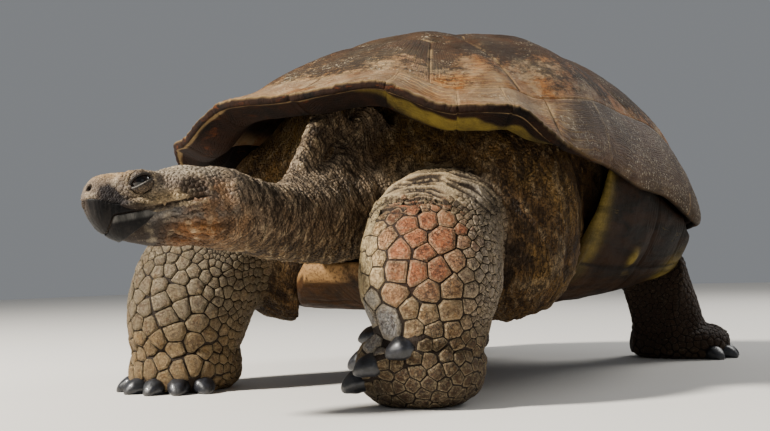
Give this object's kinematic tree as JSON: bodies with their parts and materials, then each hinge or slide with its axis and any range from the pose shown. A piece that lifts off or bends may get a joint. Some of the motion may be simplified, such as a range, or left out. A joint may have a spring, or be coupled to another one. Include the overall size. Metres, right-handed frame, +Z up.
{
  "type": "giant tortoise",
  "caption": "Life-size domed giant tortoise in mid step, neck stretched low, fore foot rolled onto its edge.",
  "frame": {"origin": "middle of the outline seen from above, on the floor", "axes": "the animal faces -Y, its left side is +X, +Z is up"},
  "size_m": [0.8824, 1.4742, 0.682],
  "materials": {
    "horn": "dull ringed horn",
    "belly": "worn horn",
    "skin": "wrinkled and dry",
    "limb": "scaled and dusty",
    "beak": "satin horn",
    "claw": "satin horn",
    "eye": "wet gloss"
  },
  "bodies": {
    "root": {"vertebral_1": "horn", "vertebral_5": "horn", "marginal_tail": "horn", "vertebral_2": "horn", "vertebral_3": "horn", "vertebral_4": "horn", "costal_left_1": "horn", "costal_left_2": "horn", "costal_left_3": "horn", "costal_left_4": "horn", "marginals_front_left": "horn", "marginals_side_left": "horn", "marginals_rear_left": "horn", "costal_right_1": "horn", "costal_right_2": "horn", "costal_right_3": "horn", "costal_right_4": "horn", "marginals_front_right": "horn", "marginals_side_right": "horn", "marginals_rear_right": "horn", "plastron": "belly", "eye_left": "eye", "eye_right": "eye", "claw_front_left_1": "claw", "claw_front_left_2": "claw", "claw_front_left_3": "claw", "claw_front_left_4": "claw", "claw_front_left_5": "claw", "claw_front_right_1": "claw", "claw_front_right_2": "claw", "claw_front_right_3": "claw", "claw_front_right_4": "claw", "claw_front_right_5": "claw", "claw_hind_left_1": "claw", "claw_hind_left_2": "claw", "claw_hind_left_3": "claw", "claw_hind_left_4": "claw", "claw_hind_right_1": "claw", "claw_hind_right_2": "claw", "claw_hind_right_3": "claw", "claw_hind_right_4": "claw", "beak_upper": "beak", "beak_lower": "beak", "head": "skin", "neck": "skin", "tail": "skin", "leg_front_left": "limb", "leg_front_right": "limb", "leg_hind_left": "limb", "leg_hind_right": "limb", "trunk": "skin"}
  },
  "joints": []
}
